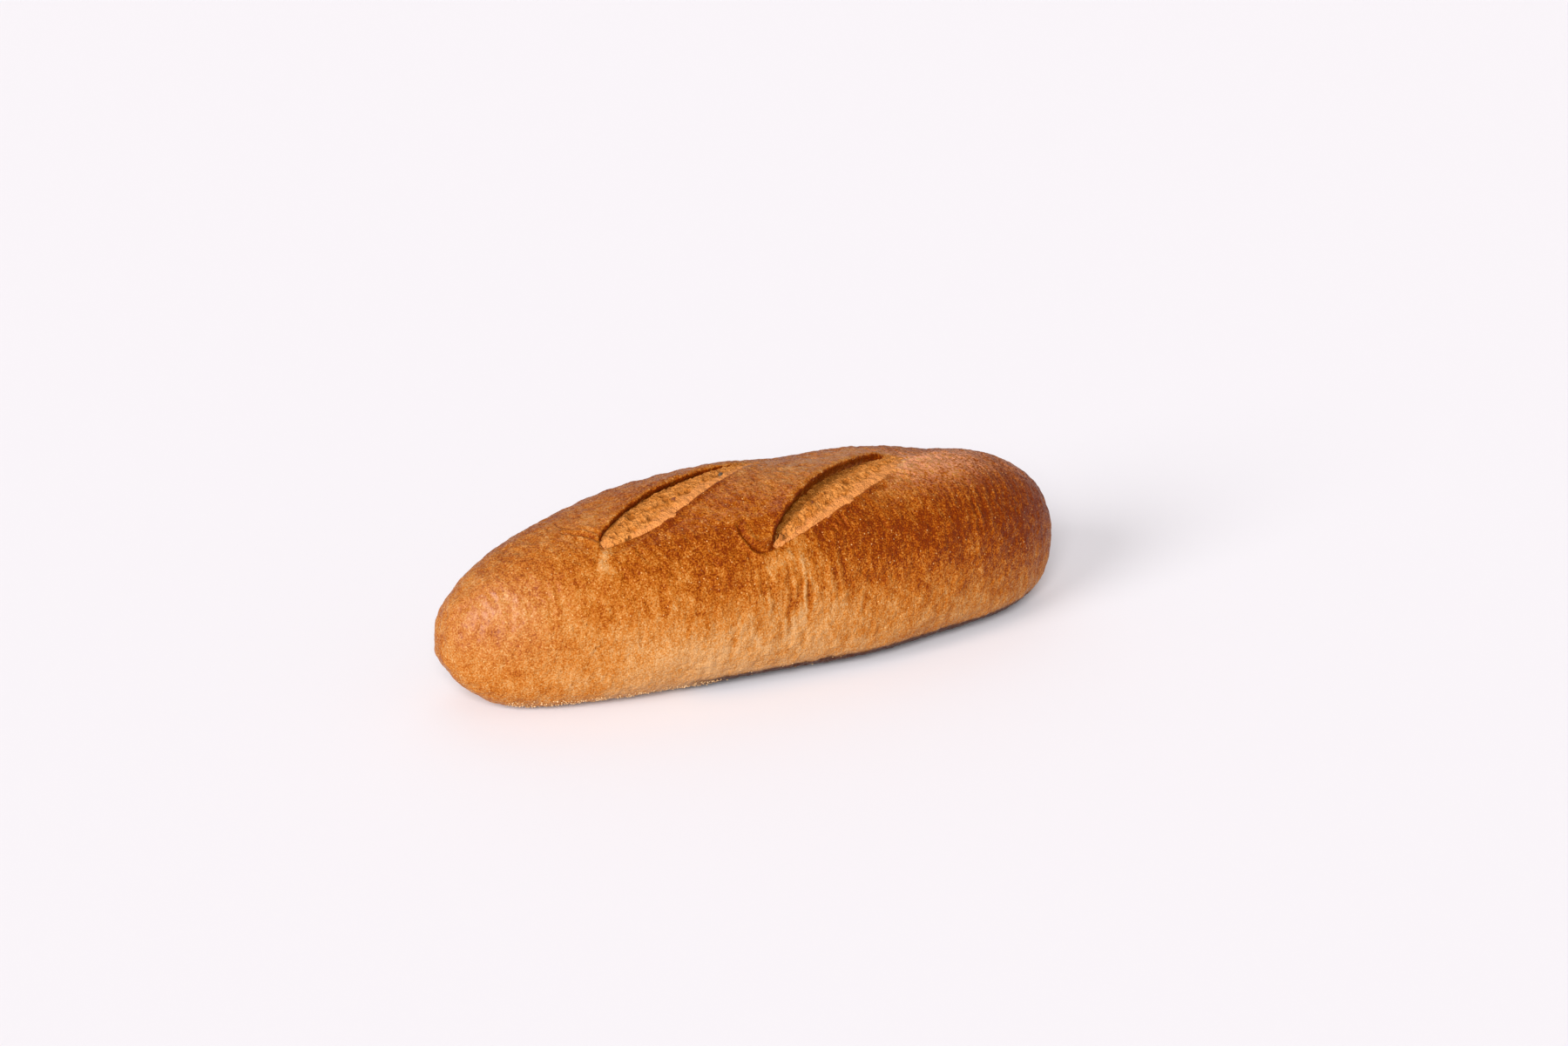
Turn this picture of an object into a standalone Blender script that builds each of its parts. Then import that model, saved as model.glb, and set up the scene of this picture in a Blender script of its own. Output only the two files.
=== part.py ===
"""A long bread roll: one solid loaf, scored twice across its crest.

The loaf is a sphere whose poles point along X, drawn out to the loaf's own sections.
Each score is a leaf-shaped opening: its far edge is a crust lip that stands a little
proud, and its floor rises from under that lip to the near edge. Metres, +Z up, the
origin in the middle of the flat base. The longer, slimmer end points to -X.
"""
import math
from collections import namedtuple

import bmesh
import bpy
from mathutils import Matrix, Vector

# --- the loaf ---------------------------------------------------------------
LENGTH = 0.185
WIDTH = 0.0652
HEIGHT = 0.0510
BEND = 0.0010            # how far both tips bow to the near side
OFF_CENTRE = 0.00055     # brings the middle of the uneven loaf's box onto the origin
TIP_LEVEL = 0.31         # height of the tips, as a share of the loaf's height
BELT_LEVEL = 0.41        # height of the widest level, as a share of each section
FLAT_SPOT = 0.0004       # what the loaf's weight presses flat underneath

# Taper of the plan and of the crown towards each end: a share s of the half length
# leaves (1 - s ** reach) ** (1 / fullness) of the full size.
PLAN_REACH = {-1: 2.17, 1: 2.03}
PLAN_FULLNESS = 1.94
CROWN_REACH = {-1: 1.41, 1: 5.7}
CROWN_FULLNESS = 2.42
PLAN_LEAN = 0.10         # the loaf is this much wider towards +X
CROWN_LEAN = -0.175      # and this much lower there
HEEL_REACH = 12.6        # how late the underside turns up to the tips

# Roundness of a section, 2 being an ellipse: over the belt and under it.
ROUND_ABOVE = 2.22
ROUND_BELOW = 3.5

# --- the scores ---------------------------------------------------------------
# start is the near end of a score and end the far one, both on the plan. bow curves it
# towards its lip. near_taper and far_taper say how gradually its two ends close. The
# opening is depth deep under the lip, which stands lip_rise proud. Past its far end the
# crust sinks into a trough, trough deep.
Score = namedtuple(
    "Score", "start end bow width near_taper far_taper depth lip_rise trough"
)
SCORES = (
    Score((-0.0510, -0.0150), (0.0060, 0.0085), 0.0003, 0.0120, 0.45, 0.80,
          0.0024, 0.0010, 0.0012),
    Score((-0.0075, -0.0270), (0.0470, 0.0020), -0.0006, 0.0120, 0.85, 0.50,
          0.0028, 0.0010, 0.0022),
)
END_WIDTH = 0.0010       # width left at a score's ends
NEAR_EDGE_DEPTH = 0.0005
SHALLOWEST = 0.6         # share of the depth that is left at a score's two ends
FLOOR_POWER = 1.2        # how steeply the floor falls towards the lip
LIP_REACH = 0.0060       # how far the crust's rise runs out behind the lip
TROUGH_SPAN = (0.68, 1.45)  # where the trough starts and ends, in lengths of the score
TROUGH_REACH = 0.0065    # half its width
CUTTER_TOP = 0.0700

# --- gentle unevenness of the dough: (size, waves along, waves around, phase) --
SWELLS = (
    (0.00030, 2.0, 3.0, 0.6),
    (0.00022, 3.0, 2.0, 2.1),
    (0.00014, 5.0, 4.0, 4.0),
)

# --- facets ---------------------------------------------------------------------
RINGS = 66
SIDES = 62
TIP_CROWDING = 0.80      # 1 crowds the rings at the tips as on a sphere, 0 not at all
SCORE_STEPS = 22
SCORE_STRIPS = 5

CRUST_BROWN = (0.420, 0.155, 0.028)
CRUMB_TAN = (0.600, 0.300, 0.095)


def end_of(s):
    """Which end a station belongs to: -1 or 1."""
    return -1 if s < 0 else 1


def taper(s, reach, fullness):
    """Share of the full size that is left at station s, from -1 to 1."""
    return max(1 - abs(s) ** reach[end_of(s)], 0) ** (1 / fullness)


def half_width(s):
    """Half the loaf's width at station s."""
    return WIDTH / 2 * taper(s, PLAN_REACH, PLAN_FULLNESS) * (1 + PLAN_LEAN * s)


def crown(s):
    """Height of the loaf's top at station s."""
    share = taper(s, CROWN_REACH, CROWN_FULLNESS) * (1 + CROWN_LEAN * s)
    return HEIGHT * (TIP_LEVEL + (1 - TIP_LEVEL) * share)


def heel(s):
    """Height of the loaf's underside at station s."""
    return HEIGHT * TIP_LEVEL * abs(s) ** HEEL_REACH


def belt(s):
    """Height of the widest level at station s."""
    return heel(s) + BELT_LEVEL * (crown(s) - heel(s))


def side_shift(s):
    """How far the loaf's middle line bows sideways at station s."""
    return BEND * (0.3 - s * s) - OFF_CENTRE


def crust_height(x, y):
    """Height of the unscored crust over a point of the plan."""
    s = max(-1, min(1, 2 * x / LENGTH))
    across = abs(y - side_shift(s)) / max(half_width(s), 1e-6)
    rise = max(1 - across ** ROUND_ABOVE, 0) ** (1 / ROUND_ABOVE)
    return belt(s) + (crown(s) - belt(s)) * rise


def score_axes(score):
    """A score's start, its direction, the side of its lip and its length."""
    start = Vector(score.start)
    chord = Vector(score.end) - start
    along = chord.normalized()
    return start, along, Vector((-along.y, along.x)), chord.length


def score_bow(score, share):
    """How far a score's middle line curves off its chord."""
    return score.bow * 4 * share * (1 - share)


def leaf_width(score, share):
    """Width of a score at a share of its length."""
    widest = score.near_taper / (score.near_taper + score.far_taper)
    near = (share / widest) ** score.near_taper
    far = ((1 - share) / (1 - widest)) ** score.far_taper
    return END_WIDTH + (score.width - END_WIDTH) * near * far


def crust_relief(x, y):
    """How far the scores lift or sink the crust at a point of the plan."""
    relief = 0
    first, last = TROUGH_SPAN
    for score in SCORES:
        start, along, side, length = score_axes(score)
        offset = Vector((x, y)) - start
        share = offset.dot(along) / length
        across = offset.dot(side)
        if 0 < share < 1:
            behind = across - score_bow(score, share) - leaf_width(score, share) / 2
            fade = math.sin(math.pi * share) * math.exp(-((behind / LIP_REACH) ** 2))
            relief += score.lip_rise * fade
        if first < share < last:
            fade = math.sin(math.pi * (share - first) / (last - first)) ** 2
            relief -= score.trough * fade * math.exp(-((across / TROUGH_REACH) ** 2))
    return relief


def swell(s, turn):
    """Unevenness of the dough at station s and angle turn round the section."""
    return sum(
        size * math.sin(along * math.pi * s + phase) * math.cos(around * turn + phase)
        for size, along, around, phase in SWELLS
    )


def loaf_point(pole):
    """Where a point of the unit sphere, its poles on X, lies on the loaf."""
    latitude = math.asin(max(-1, min(1, pole.x))) / (math.pi / 2)
    s = TIP_CROWDING * pole.x + (1 - TIP_CROWDING) * latitude
    turn = math.atan2(pole.z, pole.y)
    above = pole.z >= 0
    power = ROUND_ABOVE if above else ROUND_BELOW
    reach = (abs(math.cos(turn)) ** power + abs(math.sin(turn)) ** power) ** (-1 / power)
    rise = crown(s) - belt(s) if above else belt(s) - heel(s)
    fade = 1 - s * s
    swollen = 1 + swell(s, turn) * fade / (HEIGHT / 2)
    x = LENGTH / 2 * s
    y = side_shift(s) + half_width(s) * math.cos(turn) * reach * swollen
    z = belt(s) + rise * math.sin(turn) * reach * swollen
    if above:
        z += crust_relief(x, y) * math.sin(turn)
    return Vector((x, y, max(z, FLAT_SPOT) - FLAT_SPOT))


def score_point(score, share, strip, upper):
    """A point of the tool that opens a score: strip runs from -1, near, to 1, lip."""
    start, along, side, length = score_axes(score)
    across = score_bow(score, share) + strip * leaf_width(score, share) / 2
    plan = start + along * (share * length) + side * across
    if upper:
        return Vector((plan.x, plan.y, CUTTER_TOP))
    middle = SHALLOWEST + (1 - SHALLOWEST) * math.sin(math.pi * share)
    fall = ((1 + strip) / 2) ** FLOOR_POWER
    depth = NEAR_EDGE_DEPTH + (score.depth * middle - NEAR_EDGE_DEPTH) * fall
    return Vector((plan.x, plan.y, crust_height(plan.x, plan.y) - FLAT_SPOT - depth))


def finish(name, color, roughness):
    """A plain Principled material."""
    material = bpy.data.materials.new(name)
    material.use_nodes = True
    shader = material.node_tree.nodes["Principled BSDF"]
    shader.inputs["Base Color"].default_value = (*color, 1)
    shader.inputs["Roughness"].default_value = roughness
    shader.inputs["Metallic"].default_value = 0
    material.diffuse_color = (*color, 1)
    return material


def put(bm, name, collection, material):
    """Turn a bmesh into a named object of a collection."""
    bmesh.ops.recalc_face_normals(bm, faces=bm.faces)
    mesh = bpy.data.meshes.new(name)
    bm.to_mesh(mesh)
    bm.free()
    mesh.materials.append(material)
    thing = bpy.data.objects.new(name, mesh)
    collection.objects.link(thing)
    return thing


def make_loaf(collection, material):
    """The unscored loaf."""
    bm = bmesh.new()
    poles_on_x = Matrix.Rotation(math.pi / 2, 4, "Y")
    bmesh.ops.create_uvsphere(
        bm, u_segments=SIDES, v_segments=RINGS, radius=1, matrix=poles_on_x
    )
    for vert in bm.verts:
        vert.co = loaf_point(vert.co)
    loaf = put(bm, "bread_roll", collection, material)
    loaf.data.shade_smooth()
    return loaf


def make_score_cutter(number, score, collection, material):
    """The tool that opens one score, from its floor up to clear of the loaf."""
    bm = bmesh.new()
    bmesh.ops.create_grid(bm, x_segments=SCORE_STEPS, y_segments=SCORE_STRIPS, size=0.5)
    walls = bmesh.ops.extrude_face_region(bm, geom=bm.faces[:])
    for item in walls["geom"]:
        if isinstance(item, bmesh.types.BMVert):
            item.co.z = 1
    for vert in bm.verts:
        vert.co = score_point(score, vert.co.x + 0.5, 2 * vert.co.y, vert.co.z > 0.5)
    cutter = put(bm, f"score_cutter_{number}", collection, material)
    cutter.hide_render = True
    cutter.display_type = "WIRE"
    return cutter


def main():
    for old in list(bpy.data.objects):
        bpy.data.objects.remove(old, do_unlink=True)
    parts = bpy.data.collections.new("bread roll")
    cutters = bpy.data.collections.new("cutters")
    bpy.context.scene.collection.children.link(parts)
    bpy.context.scene.collection.children.link(cutters)

    crust = finish("baked crust", CRUST_BROWN, 0.55)
    crumb = finish("open crumb", CRUMB_TAN, 0.85)
    loaf = make_loaf(parts, crust)
    for number, score in enumerate(SCORES, start=1):
        cut = loaf.modifiers.new(f"score {number}", "BOOLEAN")
        cut.operation = "DIFFERENCE"
        cut.solver = "EXACT"
        cut.material_mode = "TRANSFER"
        cut.object = make_score_cutter(number, score, cutters, crumb)


main()
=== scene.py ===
# %% [markdown]
# # A bread roll, from the plain solid to the finished crust
#
# This lesson dresses one solid: a long roll that was scored twice before it was baked.
# The solid gives the true size and the two openings. What it lacks is everything that
# makes bread look like bread: the crinkled skin, the stretch marks under the scores, the
# torn crumb inside them, semolina under the edge, and a colour that runs from pale gold
# at the foot to deep brown on the shoulder. Lengths are in metres, and MM turns the
# millimetres of the tables into them.

# %% The frame and the tools
import itertools
import math
import random
from collections import namedtuple

import bpy
import numpy as np
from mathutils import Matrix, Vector
from mathutils.bvhtree import BVHTree


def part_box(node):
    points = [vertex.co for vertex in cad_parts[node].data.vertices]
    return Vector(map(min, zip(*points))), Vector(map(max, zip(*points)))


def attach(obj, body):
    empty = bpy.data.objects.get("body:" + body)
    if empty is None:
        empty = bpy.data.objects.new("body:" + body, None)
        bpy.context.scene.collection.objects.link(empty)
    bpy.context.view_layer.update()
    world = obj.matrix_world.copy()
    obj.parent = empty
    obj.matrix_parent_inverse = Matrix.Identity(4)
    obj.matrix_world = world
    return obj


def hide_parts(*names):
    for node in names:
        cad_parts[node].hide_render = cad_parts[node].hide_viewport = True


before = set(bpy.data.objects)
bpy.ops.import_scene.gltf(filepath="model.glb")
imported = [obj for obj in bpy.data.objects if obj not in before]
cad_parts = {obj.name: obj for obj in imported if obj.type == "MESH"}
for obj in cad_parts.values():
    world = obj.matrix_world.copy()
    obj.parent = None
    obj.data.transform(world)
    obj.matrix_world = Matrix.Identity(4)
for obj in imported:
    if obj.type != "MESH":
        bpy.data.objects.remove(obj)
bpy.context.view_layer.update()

MM = 0.001
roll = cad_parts["bread_roll"]
low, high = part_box("bread_roll")
print("the roll measures", [round(size / MM, 1) for size in high - low], "mm")

# %% [markdown]
# ## Hands
#
# Blender's operators work on whatever is selected, and the loaded solid starts out
# selected. So the first helper clears the selection and picks one object. The second adds
# a modifier, sets it up and applies it, as one would with the mouse. The last ones read
# and write all of a mesh's points at once: a sculptor's brush in numbers.


# %% Selecting, modifying and sculpting
def pick(thing):
    """Select one object alone."""
    bpy.ops.object.select_all(action="DESELECT")
    thing.select_set(True)
    bpy.context.view_layer.objects.active = thing


def modify(thing, kind, **settings):
    """Add a modifier, set it up and apply it."""
    pick(thing)
    modifier = thing.modifiers.new(kind.lower(), kind)
    for name, value in settings.items():
        setattr(modifier, name, value)
    bpy.ops.object.modifier_apply(modifier=modifier.name)


def read(thing, what="co"):
    """A mesh's points, or their normals, as rows of x, y, z."""
    flat = np.empty(len(thing.data.vertices) * 3, np.float32)
    if what == "normal":
        thing.data.vertex_normals.foreach_get("vector", flat)
    else:
        thing.data.vertices.foreach_get(what, flat)
    return flat.reshape(-1, 3).astype(float)


def write(thing, places):
    """Put a mesh's points at new places."""
    thing.data.vertices.foreach_set("co", places.astype(np.float32).ravel())
    thing.data.update()


def paint(thing, name, values):
    """Store one number for each point, for a material to read."""
    layer = thing.data.attributes.new(name, "FLOAT", "POINT")
    layer.data.foreach_set("value", values.astype(np.float32))


# %% [markdown]
# ## Unevenness
#
# Dough is never even. Gradient noise gives soft hills of a chosen size, and a few sizes on
# top of each other give the look of something grown. It is worked out here with numpy,
# because the same hills later move the mesh and guide the colour.

# %% Noise
SLOPES = np.random.default_rng(11).normal(size=(256, 3))
SLOPES /= np.linalg.norm(SLOPES, axis=1)[:, None]
SHUFFLE = np.random.default_rng(12).permutation(256)
PIT_PLACES = np.random.default_rng(13).random((256, 3))
PIT_SIZES = 0.18 + 0.50 * np.random.default_rng(14).random(256) ** 2
HILL_SEED_STEP = 17.31      # how far apart two seeds take their noise
PIT_SEED_STEP = 7.73
HILL_GAIN = 1.6             # brings the hills to about -1 to 1
FAR_OFF = 9.0               # farther than a pit or a crease is felt


def hills(places, size, seed=0):
    """Smooth noise, about -1 to 1, with hills about size across."""
    spots = places / size + seed * HILL_SEED_STEP
    cells = np.floor(spots).astype(int)
    inside = spots - cells
    ease = inside**3 * (inside * (inside * 6 - 15) + 10)
    total = np.zeros(len(places))
    for corner in itertools.product((0, 1), repeat=3):
        x, y, z = ((cells + corner) & 255).T
        slope = SLOPES[SHUFFLE[(SHUFFLE[(SHUFFLE[x] + y) & 255] + z) & 255]]
        share = np.prod(np.where(corner, ease, 1 - ease), axis=1)
        total += share * np.einsum("ij,ij->i", slope, inside - corner)
    return total * HILL_GAIN


def layered(places, size, octaves=3, seed=0):
    """Hills with smaller hills on them."""
    return sum(
        hills(places, size / 2**step, seed + step) / 2**step for step in range(octaves)
    )


def pits(places, size, seed=0):
    """Round pits strewn about size apart: 1 in a pit's middle, 0 between pits."""
    spots = places / size + seed * PIT_SEED_STEP
    cells = np.floor(spots).astype(int)
    nearest = np.full(len(places), FAR_OFF)
    for corner in itertools.product((-1, 0, 1), repeat=3):
        x, y, z = ((cells + corner) & 255).T
        key = SHUFFLE[(SHUFFLE[(SHUFFLE[x] + y) & 255] + z) & 255]
        offset = spots - cells - corner - PIT_PLACES[key]
        distance = np.sqrt(np.einsum("ij,ij->i", offset, offset)) / PIT_SIZES[key]
        nearest = np.minimum(nearest, distance)
    return ease_between(1.0, 0.25, nearest)


def ease_between(low_end, high_end, values):
    """0 below low_end, 1 above high_end and a smooth step between."""
    share = np.clip((values - low_end) / (high_end - low_end), 0, 1)
    return share * share * (3 - 2 * share)


def spot(places, centre, reach):
    """1 at a centre, fading out over a reach in x, y and z."""
    offset = (places - np.array(centre)) / np.array(reach)
    return np.exp(-np.einsum("ij,ij->i", offset, offset))


# %% [markdown]
# ## The scores' own map
#
# A baker's blade left two slanting openings. Nearly everything on the crust follows them,
# so each score gets its own map: share runs from 0 at its near end to 1 at its far end,
# and across is the distance from its middle line, positive towards the raised lip. The
# heights along it are felt with rays dropped on the solid, as with a finger.

# %% Scores
Score = namedtuple("Score", "start end bow width near_taper far_taper lip wedge profile")
SCORES = (
    # millimetres; a profile's rows are the share of the half width and the crumb's height
    Score(
        start=(-51.0, -15.0), end=(6.0, 8.5), bow=0.3, width=12.0,
        near_taper=0.45, far_taper=0.80, lip=0.7, wedge=0.95,
        profile=((-1.0, 0.00), (-0.75, 0.10), (-0.45, -0.15), (0.1, -0.15), (0.55, -0.35),
                 (0.85, -0.80), (1.05, -1.30)),
    ),
    Score(
        start=(-7.5, -27.0), end=(47.0, 2.0), bow=-0.6, width=12.0,
        near_taper=0.85, far_taper=0.50, lip=0.8, wedge=0.10,
        profile=((-1.0, 0.00), (-0.70, 0.10), (-0.42, -0.40), (-0.15, -0.20),
                 (0.20, -0.90), (0.55, -2.00), (0.85, -2.60), (1.05, -2.80)),
    ),
)
SHARES = np.linspace(0.01, 0.99, 50)
NEAR_MARGIN = 0.5 * MM      # where the crust is felt beside a score
LIP_MARGIN = 1.2 * MM
LIP_ZONE = 18 * MM          # lower than this no lip is shaped
TINT_ZONE = 20 * MM         # and lower than this none is coloured
HIGH_UP = 0.2               # where a ray that feels the roll starts

ray_tree = BVHTree.FromObject(roll, bpy.context.evaluated_depsgraph_get())


def score_axes(score):
    """A score's start, direction, lip side and length on the plan."""
    start, end = (np.array(place) * MM for place in (score.start, score.end))
    along = (end - start) / np.linalg.norm(end - start)
    return start, along, np.array((-along[1], along[0])), np.linalg.norm(end - start)


def half_width(score, share):
    """Half the width of a score at a share of its length."""
    share = np.clip(share, 0.0, 1.0)
    widest = score.near_taper / (score.near_taper + score.far_taper)
    near = (share / widest) ** score.near_taper
    far = ((1 - share) / (1 - widest)) ** score.far_taper
    return (0.5 + (score.width - 1) / 2 * near * far) * MM


def score_map(score, places):
    """Where points lie on a score's map: share, distance across, half width there."""
    start, along, side, length = score_axes(score)
    offset = places[:, :2] - start
    share = offset @ along / length
    bow = score.bow * MM * 4 * np.clip(share * (1 - share), 0, None)
    return share, offset @ side - bow, half_width(score, share)


def on_plan(score, share, across):
    """The plan position of a place on a score's map."""
    start, along, side, length = score_axes(score)
    across = across + score.bow * MM * 4 * share * (1 - share)
    return start + along * (share * length) + side * across


def feel(plan):
    """Height of the solid under a point of the plan."""
    hit = ray_tree.ray_cast(Vector((plan[0], plan[1], HIGH_UP)), Vector((0, 0, -1)))[0]
    return hit.z if hit else 0.0


def crust_edges(score):
    """Heights of the crust along a score's near edge and behind its lip."""
    rows = []
    for share in SHARES:
        half = half_width(score, share)
        places = (-half - NEAR_MARGIN, half + LIP_MARGIN)
        rows.append([feel(on_plan(score, share, across)) for across in places])
    return np.array(rows)


edges = [crust_edges(score) for score in SCORES]

# %% [markdown]
# ## The loaf's body
#
# The solid is faceted, with long thin triangles round its openings. Subdividing those
# would crumple them. A voxel remesh throws the old faces away and wraps the same shape in
# an even net, which takes a brush well. Smoothing removes the steps that voxels leave. A
# decimation comes last, once the relief is in, and then it spares the folded places.

# %% A fine copy of the solid
CRUST_VOXEL = 0.47 * MM
SAME_PLACE = 0.001 * MM

crust = bpy.data.objects.new("crust", roll.data.copy())
bpy.context.collection.objects.link(crust)
pick(crust)
bpy.ops.object.mode_set(mode="EDIT")
bpy.ops.mesh.select_all(action="SELECT")
bpy.ops.mesh.remove_doubles(threshold=SAME_PLACE)
bpy.ops.object.mode_set(mode="OBJECT")
modify(crust, "REMESH", mode="VOXEL", voxel_size=CRUST_VOXEL)
modify(crust, "SMOOTH", factor=0.5, iterations=10)
print("crust:", len(crust.data.polygons), "even faces")

# %% [markdown]
# ## Opening the scores
#
# In the oven the dough pushes up through each cut. On one side the crust is lifted into a
# thin lip that leans over the opening; under it the crumb is deepest. The solid has an
# upright wall there, so the brush pulls the wall's top out over the opening and pushes its
# foot back under the lip. The floor goes down a little, to leave room for the crumb.

# %% Lips
LIP_LEAN = 1.0 * MM
FOOT_PUSH = 0.8 * MM
FLOOR_DROP = 1.3 * MM
EDGE_RISE = 0.18 * MM
WALL_TOP = (2.4 * MM, 0.4 * MM)  # depths below the lip between which the pull grows
RAG, RAG_SIZE = 0.40, 2.8 * MM   # a torn lip is uneven by this share
CLOSED = 0.36                    # share of a score's length over which its wedge opens


def border_of(score, share):
    """Where on a score's width its near border runs: -1 is the cut's own edge."""
    return score.wedge * ease_between(CLOSED, 0.0, share) - 1


def close_corner(places, score, heights):
    """Fill the near corner of a score, so that it starts as a wedge beside its lip."""
    share, across, half = score_map(score, places)
    strip = across / half
    border = border_of(score, share)
    near, lip = (np.interp(share, SHARES, column) for column in heights.T)
    level = near + (lip - near) * np.clip((strip + 1) / 2, 0, 1)
    inside = ease_between(1.25, 1.0, np.abs(strip)) * (places[:, 2] > LIP_ZONE)
    mask = ease_between(border, border - 0.4, strip) * inside * (share > -0.02)
    mask *= border > -0.97
    places[:, 2] += np.clip(level - places[:, 2], 0, None) * mask


def open_score(places, score, heights):
    """Lean the lip over its opening, sink the floor and raise the near edge a little."""
    share, across, half = score_map(score, places)
    side = score_axes(score)[2]
    ends = ease_between(0, 0.12, share) * ease_between(1.0, 0.86, share)
    on_top_half = (places[:, 2] > LIP_ZONE) * ends
    ragged = 1 + RAG * hills(places, RAG_SIZE, seed=3)
    behind = across - half
    below_lip = np.interp(share, SHARES, heights[:, 1]) - places[:, 2]
    upper = ease_between(*WALL_TOP, below_lip)
    at_wall = np.exp(-((np.minimum(behind, 0) / (1.1 * MM)) ** 2))
    near_wall = np.exp(-((np.maximum(behind, 0) / (3.0 * MM)) ** 2))
    lean = -LIP_LEAN * upper * near_wall * at_wall * ragged
    push = FOOT_PUSH * (1 - upper) * at_wall * (behind < 1.2 * MM)
    floor = (np.abs(across) < half + 0.3 * MM) * (1 - upper * at_wall)
    floor *= ease_between(-1.02, -0.7, across / half)
    crown = np.exp(-(((behind - 1.0 * MM) / (2.2 * MM)) ** 2)) * upper
    edge = np.exp(-(((across + half + 0.9 * MM) / (0.9 * MM)) ** 2)) * ragged
    places[:, :2] += ((lean + push) * on_top_half)[:, None] * side
    rise = score.lip * 0.5 * MM * crown + EDGE_RISE * edge - FLOOR_DROP * floor
    places[:, 2] += rise * on_top_half


places = read(crust)
for score, heights in zip(SCORES, edges):
    open_score(places, score, heights)
    close_corner(places, score, heights)
write(crust, places)
modify(crust, "SMOOTH", factor=0.4, iterations=2)

# %% [markdown]
# ## Creases
#
# Where a score ends, the skin folds: at the near end of the first one two small folds
# meet like a Y, and under the second one a rounded lobe of dough is held by a hook-shaped
# crease. Each is one stroke of a crease brush: points near a path sink, and the skin
# beside it swells. A path is a few points on the plan, and the hook's path is an arc.
# A stroke with a depth below 0 raises a ridge. A tint above 0 darkens the groove as painted
# shade, and one with a tint below 0 is pale.

# %% Crease strokes
Stroke = namedtuple("Stroke", "path depth reach swell tint")
PATH_STEP = 0.4 * MM
STROKE_SPAN = 20 * MM       # no stroke is felt farther than this from its path's middle


def arc(center, radius, start, end):
    """Places on an arc of the plan, in millimetres, between two angles in degrees."""
    angles = np.radians(np.linspace(start, end, 10))
    return tuple(
        (center[0] + radius * math.cos(angle), center[1] + radius * math.sin(angle))
        for angle in angles
    )


STROKES = [Stroke(*row) for row in (
    # path, depth, reach and swell in millimetres, then the tint: painted shade in the groove,
    # pale below 0
    # the Y at the first score's near end, and the skin pulled down from it
    (((-57.0, -4.0), (-54.2, -7.6), (-52.0, -10.4), (-49.6, -13.8)), 0.50, 0.60, 0.40, 0.30),
    (((-55.4, -6.8), (-53.0, -10.2), (-51.0, -12.8)), -0.25, 0.60, 0.0, -0.30),
    (((-52.6, -5.6), (-50.6, -9.2), (-49.4, -12.4)), 0.30, 0.55, 0.35, 0.15),
    (((-48.6, -14.6), (-50.6, -16.4), (-52.6, -18.2), (-50.6, -20.6)), -0.20, 1.10, 0.0, -0.45),
    (((-51.0, -14.4), (-53.2, -17.0), (-54.6, -19.6)), 0.30, 0.60, 0.20, 0.15),
    # the hook under the second score, round a lobe of dough
    (arc((-9.2, -21.8), 5.4, -17, -186) + ((-12.6, -20.4),), 0.85, 0.55, 0.55, 0.45),
    (((-12.8, -21.8), (-12.6, -23.8), (-11.2, -25.2)), 0.0, 0.80, 0.0, -0.22),
    (((-6.4, -27.2), (-2.0, -28.0), (2.4, -27.4)), 0.35, 0.55, 0.30, 0.12),
    # pinched skin along the second score's near edge
    (((11.0, -24.6), (12.2, -25.6), (12.6, -26.6)), 0.28, 0.45, 0.30, 0.20),
    (((14.6, -23.0), (15.6, -24.4), (15.8, -25.6)), 0.30, 0.45, 0.30, 0.20),
    (((17.8, -22.0), (18.6, -23.2), (18.5, -24.2)), 0.20, 0.45, 0.25, 0.15),
    # folds fanning out from the second score's far end, and the one along the crest
    (((40.0, 1.0), (44.0, -1.5), (52.0, -2.0), (60.0, 0.0)), 0.70, 0.90, 0.55, 0.12),
    (((41.0, -2.6), (45.0, -3.6), (50.0, -3.9), (56.0, -3.4)), -0.20, 1.10, 0.0, -0.30),
    (((38.5, -3.2), (42.0, -5.4), (46.0, -6.0)), 0.45, 0.70, 0.45, 0.12),
    (((38.0, -5.2), (41.8, -7.6), (45.4, -8.6)), -0.20, 0.80, 0.0, -0.30),
    (((36.4, -7.4), (40.4, -10.6), (43.4, -12.0)), 0.35, 0.70, 0.35, 0.08),
    # a crease beside the first score, and a raised scratch on the blunt end
    (((-42.5, -16.8), (-42.0, -19.2), (-40.4, -21.8)), 0.16, 0.55, 0.25, 0.05),
    (((64.5, -20.0), (67.0, -21.5)), -0.40, 0.55, -0.10, -0.15),
)]


def dense_path(path):
    """A path with a point at every small step."""
    corners = np.array(path) * MM
    rows = [corners[:1]]
    for start, end in zip(corners, corners[1:]):
        count = max(2, int(np.linalg.norm(end - start) / PATH_STEP))
        rows.append(start + (end - start) * np.linspace(0, 1, count + 1)[1:, None])
    return np.vstack(rows)


def crease(places, normals, stroke):
    """How a stroke lifts each point, in metres, and how much of its tint it takes: painted
    shade in the groove, paleness where the tint is below 0.
    """
    trail = dense_path(stroke.path)
    share = np.linspace(0, 1, len(trail))
    near = np.full(len(places), FAR_OFF)
    strength = np.zeros(len(places))
    aside = np.abs(places[:, :2] - trail.mean(0)).max(1)
    for index in np.flatnonzero((aside < STROKE_SPAN) & (normals[:, 2] > 0)):
        gaps = np.hypot(*(trail - places[index, :2]).T)
        best = gaps.argmin()
        near[index] = gaps[best]
        strength[index] = math.sin(math.pi * (0.12 + 0.76 * share[best]))
    near /= stroke.reach * MM
    groove = np.exp(-near * near)
    swell = np.exp(-((near - 1.9) ** 2)) * stroke.swell
    return (swell - groove * stroke.depth) * strength * MM, groove * strength * stroke.tint


places, normals = read(crust), read(crust, "normal")
lift = sum(crease(places, normals, stroke)[0] for stroke in STROKES)
write(crust, places + normals * lift[:, None])

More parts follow.
